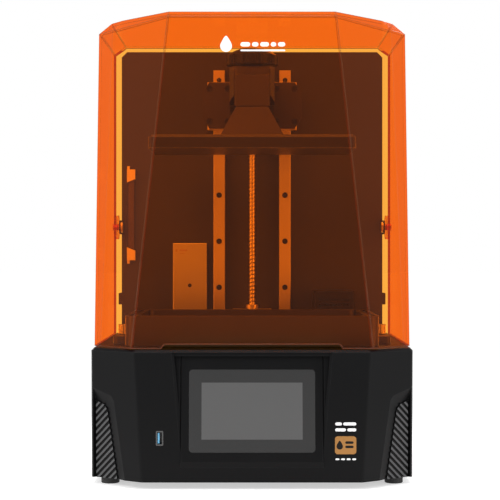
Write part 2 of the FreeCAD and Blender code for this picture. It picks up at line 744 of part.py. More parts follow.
# Fittings on the tower
HEATER_X = (-103.0, -59.0)
HEATER_Z = (185.0, 275.3)
HEATER_Y = COLUMN_Y - 14.0
FILTER_X = (79.0, 132.0)
FILTER_Y = 90.0
FILTER_TOP = 214.0
BAR_X = -157.9


def heater_housing():
    """Aluminium case of the vat air heater, with an outlet slot below."""
    case = box(HEATER_X[0], HEATER_Y, HEATER_Z[0], HEATER_X[1], COLUMN_Y, HEATER_Z[1])
    case = bevel_edges(case, 0.8, lambda d, c: c.y < HEATER_Y + 0.1)
    for i in range(5):
        x = HEATER_X[0] + 5 + i * 7.4
        case = case.cut(box(x, HEATER_Y + 3, 0, x + 4.6, COLUMN_Y - 3, HEATER_Z[0] + 20))
    middle = (HEATER_X[0] + HEATER_X[1]) / 2
    return case.cut(rod(2.6, 5, middle, HEATER_Y, 220.3, V(0, 1, 0)))


def filter_housing():
    """Air filter case standing on the deck, slotted in front and open to the exhaust."""
    x0, x1 = FILTER_X
    case = box(x0, FILTER_Y, DECK_Z, x1, COLUMN_Y, FILTER_TOP)
    case = round_edges(case, 3, lambda d, c: abs(d.z) > 0.9 and c.y < FILTER_Y + 1)
    case = bevel_edges(case, 1.2, lambda d, c: c.z > FILTER_TOP - 0.1 and c.y < COLUMN_Y - 1)
    case = case.cut(box(x0 + 2.4, FILTER_Y + 2.4, DECK_Z + 2.4, x1 - 2.4, COLUMN_Y - 2, FILTER_TOP - 2.4))
    case = case.cut(rod(16.0, 10, 105.5, COLUMN_Y - 5, 184.0, V(0, 1, 0)))
    for i in range(6):
        z = DECK_Z + 9 + i * 7.2
        case = case.cut(box(x0 + 7, 0, z, x1 - 7, FILTER_Y + 5, z + 3.4))
    return case


def filter_cartridge():
    """Carbon block inside the filter case."""
    x0, x1 = FILTER_X
    block = box(x0 + 2.8, FILTER_Y + 5, DECK_Z + 2.4, x1 - 2.8, COLUMN_Y - 8, FILTER_TOP - 3)
    for i in range(6):
        for j in range(6):
            x = x0 + 8 + i * 7.2
            z = DECK_Z + 8 + j * 8.6
            block = block.cut(rod(2.2, 60, x, FILTER_Y, z, V(0, 1, 0)))
    return block


def light_bar():
    """Inspection light strip between two slanted end caps, screwed to the left of the tower."""
    left, right = BAR_X - 5.3, BAR_X + 5.3
    cap_y = COLUMN_Y - 8.5
    tab_w = 3.2
    bar = box(BAR_X - 3.6, COLUMN_Y - 6.0, 262, BAR_X + 3.6, COLUMN_Y, 362)
    upper = profile_y([(left, 354.2), (right, 358.6), (right, 371.5), (left, 371.5)],
                      cap_y, COLUMN_Y)
    lower = profile_y([(left, 270.5), (left, 253.0), (right, 253.0), (right, 265.5)],
                      cap_y, COLUMN_Y)
    tabs = [box(left, COLUMN_Y - 4, 371, left + tab_w, COLUMN_Y, 376),
            box(left, COLUMN_Y - 4, 248.6, left + tab_w, COLUMN_Y, 254)]
    return fused([bar, upper, lower] + tabs)


BRACKET_X = TOWER_HALF + 2.0
BOSS_X = BRACKET_X + 0.6
BOSS_R = 15.5
COVER_HALF = HALF_W - 1.9
CATCH_Z = (195.0, 210.0)


def both_sides(make):
    """The piece that a function makes for the right side, and its twin on the left."""
    right = make()
    return Part.makeCompound([right, mirrored(right)])


def hinge_bracket():
    """Plate on the side of the tower that carries a cover pin."""
    plate = box(TOWER_HALF, HINGE_Y, HINGE_Z - 9, BRACKET_X, 160, HINGE_Z + 9)
    plate = plate.fuse(rod(9, BRACKET_X - TOWER_HALF, TOWER_HALF, HINGE_Y, HINGE_Z, V(1, 0, 0)))
    plate = plate.removeSplitter()
    return plate.cut(rod(PIN_R, 20, TOWER_HALF - 5, HINGE_Y, HINGE_Z, V(1, 0, 0)))


def hinge_pin():
    """Headed pin fixed in a bracket."""
    head = rod(7, 2.4, TOWER_HALF - 2.4, HINGE_Y, HINGE_Z, V(1, 0, 0))
    shank = rod(PIN_R, COVER_HALF - 0.4 - TOWER_HALF, TOWER_HALF, HINGE_Y, HINGE_Z, V(1, 0, 0))
    return fused([head, shank])


def cover_catch():
    """Magnetic catch on the side of the tower that holds the closed cover."""
    case = box(TOWER_HALF, COLUMN_Y + 1, CATCH_Z[0], TOWER_HALF + 4.4, COLUMN_Y + 25, CATCH_Z[1])
    case = round_edges(case, 1.2, lambda d, c: c.x > TOWER_HALF + 4)
    return case


# Carriage, arm and build platform
CAR_LOW = CARRIAGE_Z - 29.5
CAR_TOP = CARRIAGE_Z + 29.5
CAR_Y = 92.5
CAR_T = 10.0
ARM_HALF = 27.0
ARM_LOW = 437.0
ARM_TOP = 486.0
ARM_FRONT = -52.0
BLOCK_HALF = 21.0
CLAMP_TOP = 476.0
RIB_Z = 452.0


def rail_blocks():
    """Ball carriages that run on the two rails."""
    blocks = []
    for side in (-1, 1):
        x = side * RAIL_X
        low = CARRIAGE_Z - 30.7
        block = box(x - 15, CAR_Y + CAR_T, low, x + 15, COLUMN_Y - 4, low + 61.4)
        block = bevel_edges(block, 1.5, lambda d, c: abs(d.z) > 0.9)
        room = RAIL_W / 2 + GAP
        channel = box(x - room, COLUMN_Y - RAIL_W - GAP, 0, x + room, COLUMN_Y, HEIGHT)
        blocks.append(block.cut(channel))
    return Part.makeCompound(blocks)


def ball_nut():
    """Flanged nut with its housing, fixed behind the carriage plate."""
    body = box(-16, CAR_Y + CAR_T, 440, 16, 124, 470)
    body = round_edges(body, 3, lambda d, c: abs(d.z) > 0.9 and c.y > 120)
    flange = rod(12.5, 6, 0, SCREW_Y, 434).cut(box(-20, 0, 0, 20, CAR_Y + 1, HEIGHT))
    body = body.fuse(flange).removeSplitter()
    return body.cut(rod(SCREW_R + RUN, 200, 0, SCREW_Y, 400))


def carriage_plate():
    """Plate that ties the rail carriages, the nut and the arm together."""
    outline = [(-63.5, CAR_LOW + 14), (-55, CAR_LOW), (-15, CAR_LOW), (-15, CAR_LOW + 18),
               (15, CAR_LOW + 18), (15, CAR_LOW), (55, CAR_LOW), (63.5, CAR_LOW + 14),
               (63.5, CAR_TOP - 14), (55, CAR_TOP), (-55, CAR_TOP), (-63.5, CAR_TOP - 14)]
    plate = profile_y(outline, CAR_Y, CAR_Y + CAR_T)
    for x, z in carriage_holes():
        plate = plate.cut(rod(2.2, 20, x, CAR_Y - 1, z, V(0, 1, 0)))
        plate = plate.cut(rod(4.2, 5, x, CAR_Y, z, V(0, 1, 0)))
    return plate


def carriage_holes():
    """Screw places, four for each rail carriage."""
    return [(side * RAIL_X + a, CARRIAGE_Z + b) for side in (-1, 1)
            for a in (-11.5, 11.5) for b in (-21, 21)]


def carriage_screws():
    """Socket screws of the carriage plate."""
    screws = []
    for x, z in carriage_holes():
        head = rod(4.0, 4, x, CAR_Y + 1, z, V(0, 1, 0)).fuse(rod(2.0, 5, x, CAR_Y + 5, z, V(0, 1, 0)))
        screws.append(head.removeSplitter().cut(rod(1.8, 2.2, x, CAR_Y + 1, z, V(0, 1, 0))))
    return Part.makeCompound(screws)


def platform_arm():
    """Forked arm whose inner ribs hold the platform block."""
    roof = box(-ARM_HALF, ARM_FRONT, CLAMP_TOP + 0.6, ARM_HALF, CAR_Y, ARM_TOP)
    roof = round_edges(roof, 10, lambda d, c: abs(d.z) > 0.9 and c.y < 0)
    side = [(ARM_FRONT + 14, ARM_LOW + 4), (CAR_Y, ARM_LOW - 10), (CAR_Y, ARM_TOP), (ARM_FRONT, ARM_TOP - 3),
            (ARM_FRONT, ARM_LOW + 14)]
    cheeks = [profile_x(side, BLOCK_HALF + GAP, ARM_HALF), profile_x(side, -ARM_HALF, -BLOCK_HALF - GAP)]
    ribs = []
    for x in (-1, 1):
        a, b = sorted((x * (BLOCK_HALF - 3.6), x * (BLOCK_HALF + 2)))
        ribs.append(box(a, ARM_FRONT + 8, RIB_Z, b, 40, RIB_Z + 5))
    arm = fused([roof] + cheeks + ribs + [box(-ARM_HALF, 70, ARM_LOW + 1, ARM_HALF, CAR_Y, ARM_TOP)])
    arm = arm.common(profile_z([(-ARM_HALF, CAR_Y), (-ARM_HALF, ARM_FRONT + 9), (-ARM_HALF + 5, ARM_FRONT),
                                (ARM_HALF - 5, ARM_FRONT), (ARM_HALF, ARM_FRONT + 9),
                                (ARM_HALF, CAR_Y)], 0, HEIGHT))
    return arm.cut(rod(4 + RUN, 80, 0, MASK_Y, 440 + 36))


def clamp_block():
    """Square block of the platform that slides into the fork, on a waisted post."""
    block = box(-BLOCK_HALF, -60, ARM_LOW, BLOCK_HALF, 38, CLAMP_TOP)
    block = bevel_edges(block, 1.2, lambda d, c: c.y < -59)
    for x in (-1, 1):
        a, b = sorted((x * (BLOCK_HALF - 4), x * (BLOCK_HALF + 1)))
        block = block.cut(box(a, -54, RIB_Z - GAP, b, 60, RIB_Z + 5 + GAP))
    post = loft([rectangle(38, 60, ARM_LOW), rectangle(76, 84, PLATE_Z + 16)])
    return fused([block, post])


def build_plate():
    """Thick platform that the prints hang from, with drip bevels on its back."""
    plate = slab(0, MASK_Y, PLATE_W, PLATE_D, PLATE_Z, PLATE_Z + 16, 4)
    top = [e for e in plate.Edges if e.CenterOfMass.z > PLATE_Z + 15.99]
    return plate.makeChamfer(3.0, top)


def clamp_knob():
    """Domed knob with grip flats, a neck and a clamping stud."""
    y = MASK_Y
    dome = Part.makeSphere(52, V(0, y, 511 - 52)).common(rod(31.5, 30, 0, y, 489))
    skirt = rod(31.5, 8, 0, y, 489)
    body = skirt.fuse(dome).removeSplitter()
    body = body.common(box(-40, y - 40, 489, 40, y + 40, 511))
    for i in range(12):
        flute = rod(5, 60, 0, y + 34.6, 480)
        flute.rotate(V(0, y, 0), V(0, 0, 1), 30 * i + 15)
        body = body.cut(flute)
    neck = rod(13, 2.6, 0, y, 486.4)
    stud = rod(4, 12, 0, y, CLAMP_TOP + 0.4)
    return fused([body, neck, stud])


# Resin vat
VAT_HALF = 146.0
VAT_Y = (-130.5, 70.0)
VAT_LOW = DECK_Z + GAP
VAT_TOP = 191.0
VAT_IN_HALF = 130.0
VAT_IN_Y = (-114.0, 54.0)


def between(x_half, y_span, z0, z1, r):
    """Plate across the vat with round corners."""
    middle = (y_span[0] + y_span[1]) / 2
    return slab(0, middle, 2 * x_half, y_span[1] - y_span[0], z0, z1, r)


def vat_frame():
    """Vat body with a level mark ledge, side flanges and a pouring corner."""
    body = between(VAT_HALF, VAT_Y, VAT_LOW, VAT_TOP, 12)
    flanges = [slab(x, VAT_SCREW_Y, 34, 92, VAT_LOW, VAT_LOW + 9, 6) for x in (-147, 147)]
    body = fused([body] + flanges)
    body = body.cut(between(VAT_IN_HALF, VAT_IN_Y, VAT_LOW + 5, HEIGHT, 9))
    body = body.cut(between(VAT_IN_HALF - 4, (VAT_IN_Y[0] + 4, VAT_IN_Y[1] - 4), 0, HEIGHT, 6))
    lip = between(VAT_HALF - 4, (VAT_Y[0] + 4, VAT_Y[1] - 4), VAT_TOP - 2, VAT_TOP + 1, 10)
    body = body.cut(lip.cut(between(VAT_IN_HALF + 4, (VAT_IN_Y[0] - 4, VAT_IN_Y[1] + 4), 0, HEIGHT, 10)))
    for x in (-VAT_SCREW_X, VAT_SCREW_X):
        body = body.cut(rod(2.5 + RUN, 60, x, VAT_SCREW_Y, VAT_LOW - 5))
    return body


def film_clamp():
    """Ring that stretches the release film over the vat's floor."""
    outer = between(VAT_IN_HALF - 4, (VAT_IN_Y[0] + 4, VAT_IN_Y[1] - 4), VAT_LOW + 0.2, VAT_LOW + 5, 6)
    upper = between(VAT_IN_HALF, VAT_IN_Y, VAT_LOW + 5, VAT_LOW + 8, 9)
    hole = between(VAT_IN_HALF - 8, (VAT_IN_Y[0] + 8, VAT_IN_Y[1] - 8), 0, HEIGHT, 4)
    return fused([outer, upper]).cut(hole)


def vat_film():
    """Clear release film."""
    return between(VAT_IN_HALF - 6, (VAT_IN_Y[0] + 6, VAT_IN_Y[1] - 6), VAT_LOW, VAT_LOW + 0.2, 4)


def vat_thumb_screw(side):
    """Knurled thumb screw at one side of the vat."""
    x = side * VAT_SCREW_X
    head = rod(7.5, 11, x, VAT_SCREW_Y, VAT_LOW + 10)
    collar = rod(5, 0.6, x, VAT_SCREW_Y, VAT_LOW + 9.4)
    for i in range(18):
        groove = rod(0.8, 30, x, VAT_SCREW_Y + 7.9, VAT_LOW + 5)
        groove.rotate(V(x, VAT_SCREW_Y, 0), V(0, 0, 1), 20 * i)
        head = head.cut(groove)
    return fused([head, collar, rod(2.5, 20, x, VAT_SCREW_Y, VAT_LOW - 8.5)])


# Cover: flat facets around a chopped box
COVER_FRONT = -178.0
COVER_REAR = 134.2
COVER_LOW = DECK_Z + 1.0
A_LOW = V(135.4, COVER_FRONT, 157.0)
A_TOP = V(94.4, COVER_FRONT, 527.4)
B_LOW = V(173.05, -134.7, 157.0)
B_TOP = V(163.3, -98.7, 522.0)
C_TOP = V(COVER_HALF, -67.9, 522.0)
ROOF_FRONT = V(92.8, -174.6, HEIGHT)
ROOF_SIDE = V(150.2, -104.2, HEIGHT)
INSIDE = V(0, 0, 300)


def level(degrees):
    """Level direction at an angle from the X axis."""
    return V(math.cos(math.radians(degrees)), math.sin(math.radians(degrees)), 0)


SIDE_FACETS = [plane_of(A_LOW, A_TOP, A_LOW + level(49), INSIDE),
               plane_of(B_LOW, B_TOP, B_LOW + level(60), INSIDE),
               plane_of(A_TOP, ROOF_FRONT, B_TOP, INSIDE),
               plane_of(ROOF_SIDE, B_TOP, C_TOP, INSIDE),
               plane_of(V(COVER_HALF, 0, 522), V(COVER_HALF, 50, 522), V(165, 0, HEIGHT), INSIDE)]
FRONT_FACET = plane_of(A_TOP, V(0, COVER_FRONT, A_TOP.z), ROOF_FRONT, INSIDE)
REAR_FACET = plane_of(V(0, COVER_REAR, 527.4), V(50, COVER_REAR, 527.4), V(0, 128, HEIGHT), INSIDE)


def cover_form(inset, low, rear):
    """Faceted form of the cover, inset for its inner face."""
    edge = COVER_HALF - inset
    form = box(-edge, COVER_FRONT + inset, low, edge, rear, HEIGHT - inset)
    for facet in SIDE_FACETS:
        form = chop(form, facet, inset)
        form = chop(form, flip(facet), inset)
    return chop(form, FRONT_FACET, inset)


def cover_shell():
    """Transparent cover, open below and behind, with a finger recess in its front edge."""
    shell = chop(cover_form(0, COVER_LOW, COVER_REAR), REAR_FACET)
    shell = shell.cut(cover_form(WALL, COVER_LOW - 10, COVER_REAR + 10))
    recess = [(-102, COVER_LOW - 1), (-97.5, COVER_LOW + 4.8), (97.5, COVER_LOW + 4.8), (102, COVER_LOW - 1)]
    shell = shell.cut(profile_y(recess, COVER_FRONT - 1, COVER_FRONT + 20))
    sweep = rod(HINGE_Z - COVER_LOW + 0.2, WIDTH, -HALF_W, HINGE_Y, HINGE_Z, V(1, 0, 0))
    corner = box(-HALF_W, HINGE_Y, COVER_LOW - 1, HALF_W, COVER_REAR + 1, HINGE_Z)
    shell = shell.cut(corner.cut(sweep))
    return shell.cut(rod(PIN_R + RUN, WIDTH, -HALF_W, HINGE_Y, HINGE_Z, V(1, 0, 0)))


def cover_boss():
    """Clear bearing boss bonded inside a side wall of the cover."""
    boss = ring(BOSS_R, PIN_R + RUN, COVER_HALF - WALL - BOSS_X, BOSS_X, HINGE_Y, HINGE_Z, V(1, 0, 0))
    return boss


# Write every piece
save("base_shell", base_shell())
save("corner_grip_right", corner_grip())
save("corner_grip_left", mirrored(corner_grip()))
save("top_deck", top_deck())
save("base_floor", base_floor())
save("rear_panel", rear_panel())
save("rubber_feet", rubber_feet(), group=True)
save("screen_panel", screen_panel())
save("touch_glass", touch_glass())
save("touch_display", touch_display())
save("usb_shell", usb_shell())
save("usb_tongue", usb_tongue())
save("badge_plate", badge_plate())
save("power_inlet", power_inlet())
save("power_frame", power_frame())
save("power_rocker", power_rocker())
save("rear_fan_frame", fan_frame(FAN_X, REAR_Y - WALL - 25, FAN_Z, FAN_HALF, 25, 37.5))
save("rear_fan_rotor", fan_rotor(FAN_X, REAR_Y - WALL - 25, FAN_Z, 25, 37.5))
save("mainboard", mainboard())
save("power_supply", power_supply())
save("led_heatsink", led_heatsink())
save("led_board", led_board())
save("lens_array", lens_array())
save("light_housing", light_housing())
save("light_fan_frame", fan_frame(0, LIGHT_FAN_Y, LIGHT_FAN_Z, LIGHT_FAN_HALF, 15, 23.5))
save("light_fan_rotor", fan_rotor(0, LIGHT_FAN_Y, LIGHT_FAN_Z, 15, 23.5))
save("mask_screen", mask_screen())
save("mask_frame", mask_frame())
save("column_plate", column_plate())
save("tower_cover", tower_cover())
save("rail_left", linear_rail(-1))
save("rail_right", linear_rail(1))
save("tower_screws", tower_screws(), group=True)
save("lower_bearing_block", lower_bearing_block())
save("upper_bearing_block", upper_bearing_block())
save("z_motor", z_motor())
save("shaft_coupling", shaft_coupling())
save("ball_screw", ball_screw())
save("heater_housing", heater_housing())
save("filter_housing", filter_housing())
save("filter_cartridge", filter_cartridge())
save("light_bar", light_bar())
save("hinge_brackets", both_sides(hinge_bracket), group=True)
save("hinge_pins", both_sides(hinge_pin), group=True)
save("cover_catches", both_sides(cover_catch), group=True)
save("rail_blocks", rail_blocks(), group=True)
save("ball_nut", ball_nut())
save("carriage_plate", carriage_plate())
save("carriage_screws", carriage_screws(), group=True)
save("platform_arm", platform_arm())
save("clamp_block", clamp_block())
save("build_plate", build_plate())
save("clamp_knob", clamp_knob())
save("vat_frame", vat_frame())
save("film_clamp", film_clamp())
save("vat_film", vat_film())
save("vat_screw_left", vat_thumb_screw(-1))
save("vat_screw_right", vat_thumb_screw(1))
save("cover_shell", cover_shell())
save("cover_bosses", both_sides(cover_boss), group=True)
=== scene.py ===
# %% [markdown]
# # A desktop resin printer
# The printer arrives as a finished CAD model with one object for each real piece, all in
# metres, standing on z = 0 and facing -Y. This lesson never moves those objects. It gives
# each of them a material, adds the small shapes that CAD leaves out, and lights the result.

# %% Load the frame and note its size
import math

import bmesh
import bpy
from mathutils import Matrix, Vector


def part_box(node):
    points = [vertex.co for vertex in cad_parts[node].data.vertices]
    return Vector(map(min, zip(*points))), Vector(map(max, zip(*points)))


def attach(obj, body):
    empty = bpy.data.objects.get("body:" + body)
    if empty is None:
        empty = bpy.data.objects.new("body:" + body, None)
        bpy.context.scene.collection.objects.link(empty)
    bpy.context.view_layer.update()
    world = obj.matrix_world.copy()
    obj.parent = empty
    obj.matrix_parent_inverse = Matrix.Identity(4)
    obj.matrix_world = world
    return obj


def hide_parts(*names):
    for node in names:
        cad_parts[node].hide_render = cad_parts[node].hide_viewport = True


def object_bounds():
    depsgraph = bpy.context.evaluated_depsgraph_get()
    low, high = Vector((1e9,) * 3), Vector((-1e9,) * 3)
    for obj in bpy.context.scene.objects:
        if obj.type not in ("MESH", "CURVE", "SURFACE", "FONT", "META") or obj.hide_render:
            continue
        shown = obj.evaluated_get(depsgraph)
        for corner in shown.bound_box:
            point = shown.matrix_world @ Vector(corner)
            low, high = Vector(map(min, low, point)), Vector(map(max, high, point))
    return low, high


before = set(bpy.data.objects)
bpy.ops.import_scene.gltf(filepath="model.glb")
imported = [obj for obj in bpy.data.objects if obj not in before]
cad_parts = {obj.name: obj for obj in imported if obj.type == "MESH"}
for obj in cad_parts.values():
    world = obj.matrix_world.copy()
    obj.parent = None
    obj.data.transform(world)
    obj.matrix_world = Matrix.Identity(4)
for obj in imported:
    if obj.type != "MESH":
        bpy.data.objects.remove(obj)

cad_box = [list(corner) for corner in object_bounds()]
low, high = (Vector(corner) for corner in cad_box)
MM = 0.001
print("CAD box in mm:", [round((b - a) / MM, 1) for a, b in zip(low, high)])


# %% [markdown]
# ## Studio
# A product shot keeps the camera level and far away, so that upright lines stay upright. The
# eye is near the middle of the machine's height. Distance sets the perspective: here 1.75 m in
# front of the base. The lens then follows from how large the machine should look, and a small
# shift of the lens centres the machine without tilting the camera.

# %% Camera
EYE_HEIGHT = 0.269
EYE_DISTANCE = 1.75
LENS, SENSOR_WIDTH = 113.4, 36.0
SHIFT_X, SHIFT_Y = -0.0041, -0.004
camera_data = bpy.data.cameras.new("studio_camera")
camera_data.lens = LENS
camera_data.sensor_width = SENSOR_WIDTH
camera_data.shift_x = SHIFT_X
camera_data.shift_y = SHIFT_Y
camera = bpy.data.objects.new("studio_camera", camera_data)
camera.location = (0, low.y - EYE_DISTANCE, EYE_HEIGHT)
camera.rotation_euler = (math.radians(90), 0, 0)
bpy.context.scene.collection.objects.link(camera)
bpy.context.scene.camera = camera
print("camera at", [round(v, 3) for v in camera.location])


# %% [markdown]
# ## Shader arithmetic
# A procedural material is a small calculation repeated at every point of a surface. Wiring
# Math nodes by hand hides the formula, so this class wraps a socket and lets Python's own
# operators add the nodes: `1 - mask` or `noise * 0.2 + 0.4` read as they are meant.

# %% A socket that takes part in arithmetic
class Signal:
    def __init__(self, recipe, socket):
        self.recipe = recipe
        self.socket = socket

    def calc(self, operation, *values, clamp=False):
        settings = {"operation": operation, "use_clamp": clamp}
        sockets = dict(enumerate((self, *values)))
        return self.recipe.node("ShaderNodeMath", settings, sockets)

    def __add__(self, other):
        return self.calc("ADD", other)

    def __mul__(self, other):
        return self.calc("MULTIPLY", other)

    def __sub__(self, other):
        return self.calc("SUBTRACT", other)

    def __rsub__(self, other):
        return self.calc("MULTIPLY_ADD", -1.0, other)

    def __gt__(self, other):
        return self.calc("GREATER_THAN", other)

    def __lt__(self, other):
        return self.calc("LESS_THAN", other)

    def size(self):
        return self.calc("ABSOLUTE")

    def fraction(self):
        return self.calc("FRACT")

    def soft_step(self, start, end):
        settings = {"interpolation_type": "SMOOTHSTEP"}
        links = {"Value": self, "From Min": start, "From Max": end}
        return self.recipe.node("ShaderNodeMapRange", settings, links)


class NodeSheet:
    """A node tree, and the one method that adds a node to it."""

    def __init__(self, tree):
        self.tree = tree

    def node(self, kind, settings=None, sockets=None, take=0):
        made = self.tree.nodes.new(kind)
        for key, value in (settings or {}).items():
            setattr(made, key, value)
        for key, value in (sockets or {}).items():
            self.feed(made.inputs[key], value)
        return Signal(self, made.outputs[take])

    def feed(self, target, value):
        if isinstance(value, Signal):
            self.tree.links.new(value.socket, target)
        else:
            target.default_value = value


class Recipe(NodeSheet):
    """One material: its node tree, its Principled shader, and short words for common nodes."""

    def __init__(self, name, colour, roughness, **constants):
        self.material = bpy.data.materials.new(name)
        self.material.use_nodes = True
        super().__init__(self.material.node_tree)
        self.shader = self.tree.nodes["Principled BSDF"]
        self.output = self.tree.nodes["Material Output"]
        self.place = None
        self.set("Base Color", (*colour, 1.0))
        self.set("Roughness", roughness)
        for socket, value in constants.items():
            self.set(socket, value)

    def set(self, socket, value):
        self.feed(self.shader.inputs[socket], value)

    def position(self):
        """Place in metres, which is the same for every piece because the pieces share one frame."""
        if self.place is None:
            self.place = self.node("ShaderNodeTexCoord", take="Object")
        return self.place

    def axis(self, name):
        split = self.node("ShaderNodeSeparateXYZ", sockets={"Vector": self.position()})
        return Signal(self, split.socket.node.outputs[name])

    def stretched(self, factors):
        settings = {"operation": "MULTIPLY"}
        return self.node("ShaderNodeVectorMath", settings, {0: self.position(), 1: factors})

    def noise(self, size, detail=3.0, roughness=0.55, vector=None):
        """Cloudy values about 0.5, with lumps of a size in metres."""
        sockets = {"Vector": vector or self.position(), "Scale": 1 / size, "Detail": detail,
                   "Roughness": roughness}
        return self.node("ShaderNodeTexNoise", sockets=sockets)

    def cells(self, size, feature="F1", vector=None):
        settings = {"feature": feature}
        sockets = {"Vector": vector or self.position(), "Scale": 1 / size}
        return self.node("ShaderNodeTexVoronoi", settings, sockets)

    def blend(self, share, first, second):
        """Colour between two colours or colour signals."""
        settings = {"data_type": "RGBA"}
        made = self.node("ShaderNodeMix", settings, {0: share}, take=2).socket.node
        for place, value in ((6, first), (7, second)):
            self.feed(made.inputs[place], value if isinstance(value, Signal) else (*value, 1.0))
        return Signal(self, made.outputs[2])

    def edges(self, width, full=0.25):
        """1 on sharp edges and 0 on flat faces, from how far a rounded normal turns away."""
        settings = {"samples": 4}
        rounded = self.node("ShaderNodeBevel", settings, {"Radius": width})
        flat = self.node("ShaderNodeNewGeometry", take="Normal")
        same = self.node("ShaderNodeVectorMath", {"operation": "DOT_PRODUCT"},
                         {0: rounded, 1: flat}, take="Value")
        return (1 - same).soft_step(0.0, full)

    def bump(self, height, depth, strength=1.0, rounded=0.0):
        """Surface relief in metres, over edges rounded by a radius."""
        sockets = {"Height": height, "Distance": depth, "Strength": strength}
        if rounded:
            sockets["Normal"] = self.node("ShaderNodeBevel", {"samples": 4}, {"Radius": rounded})
        self.set("Normal", self.node("ShaderNodeBump", sockets=sockets))

    def cover(self, share, under):
        """Lay this recipe's shader over another one, as a share of the light."""
        mixed = self.node("ShaderNodeMixShader", sockets={0: share, 1: under})
        self.tree.links.new(self.shader.outputs[0], mixed.socket.node.inputs[2])
        self.tree.links.new(mixed.socket, self.output.inputs["Surface"])

    def apply(self, *names):
        """Give the material to CAD nodes or to new pieces."""
        for name in names:
            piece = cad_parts.get(name) or bpy.data.objects[name]
            piece.data.materials.clear()
            piece.data.materials.append(self.material)
            for face in piece.data.polygons:
                face.material_index = 0


print("shader helpers ready")


# %% [markdown]
# ## Floor and light
# The floor is one pale sheet. Near the machine it is paper that takes a shadow, and further out
# it glows as white as the sky, so that no horizon shows. The sky is white where the camera sees
# it, directly or through clear parts, and dimmer as a light, because a white room would wash out
# black plastic.

# %% Floor
FLOOR_SIZE = 30.0
FADE_START, FADE_END = 0.22, 0.75
PAPER = (0.80, 0.80, 0.80)
floor_mesh = bpy.data.meshes.new("studio_floor")
half = FLOOR_SIZE / 2
floor_mesh.from_pydata([(-half, -half, 0), (half, -half, 0), (half, half, 0), (-half, half, 0)],
                       [], [(0, 1, 2, 3)])
floor = bpy.data.objects.new("studio_floor", floor_mesh)
bpy.context.scene.collection.objects.link(floor)
paper = Recipe("studio_paper", PAPER, 0.9)
paper.set("Specular IOR Level", 0.1)
away = paper.node("ShaderNodeVectorMath", {"operation": "LENGTH"}, {0: paper.position()},
                  take="Value").soft_step(FADE_START, FADE_END)
paper.set("Base Color", paper.blend(away, PAPER, (0.0, 0.0, 0.0)))
paper.set("Emission Color", paper.blend(away, (0.52, 0.52, 0.52), (1.0, 1.0, 1.0)))
paper.set("Emission Strength", 1.0)
paper.apply("studio_floor")
print("floor made,", FLOOR_SIZE, "m wide")

# %% Sky
SEEN_SKY, LIGHTING_SKY = 1.0, 0.42
world = bpy.data.worlds.new("studio_sky")
bpy.context.scene.world = world
world.use_nodes = True
sky = NodeSheet(world.node_tree)
sky.tree.nodes.remove(sky.tree.nodes["Background"])
white = (1.0, 1.0, 1.0, 1.0)
dim = sky.node("ShaderNodeBackground", sockets={"Color": white, "Strength": LIGHTING_SKY})
bright = sky.node("ShaderNodeBackground", sockets={"Color": white, "Strength": SEEN_SKY})
through = sky.node("ShaderNodeLightPath", take="Is Transmission Ray")
seen = sky.node("ShaderNodeLightPath", take="Is Camera Ray").calc("MAXIMUM", through)
choice = sky.node("ShaderNodeMixShader", sockets={0: seen, 1: dim, 2: bright})
sky.tree.links.new(choice.socket, sky.tree.nodes["World Output"].inputs["Surface"])
bpy.context.scene.view_settings.view_transform = "Standard"
print("sky made")

# %% [markdown]
# ## Lamps
# Large lamps give soft shadows. One hangs above, one stands high in front, and a tall box on each
# side models the slanting faces. A pair behind draws a pale line down the sides of the base, and
# one more lights the back for views from there.

# %% Lamps
AIM = Vector((0, 0, 0.27))


def softbox(name, place, width, height, watts):
    """White rectangular lamp at a place, turned towards the middle of the machine."""
    lamp = bpy.data.lights.new(name, "AREA")
    lamp.shape = "RECTANGLE"
    lamp.size = width
    lamp.size_y = height
    lamp.energy = watts
    holder = bpy.data.objects.new(name, lamp)
    holder.location = place
    holder.rotation_euler = (AIM - Vector(place)).to_track_quat("-Z", "Y").to_euler()
    bpy.context.scene.collection.objects.link(holder)
    print(name, "at", place, "with", watts, "W")


softbox("top_light", (0.0, -0.1, 2.2), 1.6, 1.6, 26)
softbox("front_light", (-0.9, -2.2, 1.7), 1.4, 1.0, 20)
softbox("left_strip", (-1.8, -1.1, 0.8), 0.5, 1.6, 16)
softbox("right_strip", (1.8, -1.1, 0.8), 0.5, 1.6, 16)
softbox("rear_light", (0.6, 2.0, 1.5), 1.4, 1.0, 14)
softbox("left_edge", (-1.3, 1.7, 0.5), 0.5, 1.2, 14)
softbox("right_edge", (1.3, 1.7, 0.5), 0.5, 1.2, 14)


# %% [markdown]
# ## Black mouldings
# The base, deck and screen surround are moulded in black plastic with a fine spark-eroded
# grain. Black hides colour, so the finish is told by its relief and by how edges catch the
# light. A Bevel node rounds every sharp edge for the light only, and the same edges are a touch
# paler and smoother, as handling leaves them.

# %% Moulded black
def moulded_black(name, colour, roughness, grain=0.0005):
    """Grained plastic with softened, slightly rubbed edges."""
    skin = Recipe(name, colour, roughness)
    pits = skin.noise(grain, 2.0)
    clouds = skin.noise(0.06, 3.0)
    rubbed = skin.edges(0.0012)
    paler = tuple(min(1.0, 2.2 * value + 0.012) for value in colour)
    shade = skin.blend(clouds * 0.5, colour, tuple(1.35 * value for value in colour))
    skin.set("Base Color", skin.blend(rubbed * 0.7, shade, paler))
    skin.set("Roughness", (clouds - 0.5) * 0.14 + pits * 0.1 + (roughness - 0.05) - rubbed * 0.08)
    skin.bump(pits, 0.00006, 0.55, rounded=0.0008)
    skin.set("Specular IOR Level", 0.1)
    return skin


moulded_black("moulded_black", (0.0040, 0.0040, 0.0043), 0.40).apply(
    "base_shell", "top_deck", "screen_panel")

